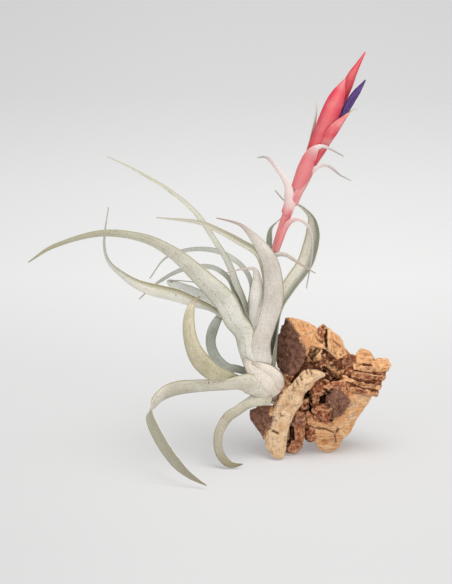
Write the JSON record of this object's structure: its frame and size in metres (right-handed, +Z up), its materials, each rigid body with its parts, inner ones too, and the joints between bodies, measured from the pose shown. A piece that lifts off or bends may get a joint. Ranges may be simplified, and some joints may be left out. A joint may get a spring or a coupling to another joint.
{
  "type": "air plant on cork bark",
  "caption": "Air plant in flower: silvery channelled leaves arching from a small bulb, a coral flower spike with a violet flower, fixed on a chunk of cork bark.",
  "frame": {"origin": "on the widest flat of the cork's underside, on the surface it stands on", "axes": "+Z up, -Y towards the viewer of the picture, +X to the viewer's right"},
  "size_m": [0.2514, 0.1863, 0.2891],
  "materials": {
    "leaf_silver": "matte, felted with fine silver scales",
    "bract_coral": "satin, smooth",
    "bract_blush": "satin, dusted with silver scales",
    "scape_coral": "satin",
    "petal_violet": "satin, thin petals",
    "old_stem": "dry and fibrous",
    "cork": "rough, dry, layered and cracked"
  },
  "bodies": {
    "root": {"stem": "old_stem", "scape": "scape_coral", "leaf_01": "leaf_silver", "leaf_02": "leaf_silver", "leaf_03": "leaf_silver", "leaf_04": "leaf_silver", "leaf_05": "leaf_silver", "leaf_06": "leaf_silver", "leaf_07": "leaf_silver", "leaf_08": "leaf_silver", "leaf_09": "leaf_silver", "leaf_10": "leaf_silver", "leaf_11": "leaf_silver", "leaf_12": "leaf_silver", "leaf_13": "leaf_silver", "leaf_14": "leaf_silver", "leaf_15": "leaf_silver", "leaf_16": "leaf_silver", "leaf_17": "leaf_silver", "leaf_18": "leaf_silver", "leaf_19": "leaf_silver", "leaf_20": "leaf_silver", "bulb_sheath_1": "leaf_silver", "bulb_sheath_2": "leaf_silver", "flower": "petal_violet", "floral_bract_1": "bract_coral", "floral_bract_2": "bract_coral", "floral_bract_3": "bract_coral", "floral_bract_4": "bract_coral", "floral_bract_5": "bract_coral", "scape_bract_1": "bract_blush", "scape_bract_2": "bract_blush", "scape_bract_3": "bract_blush", "scape_bract_4": "bract_blush", "cork_bark": "cork"}
  },
  "joints": []
}
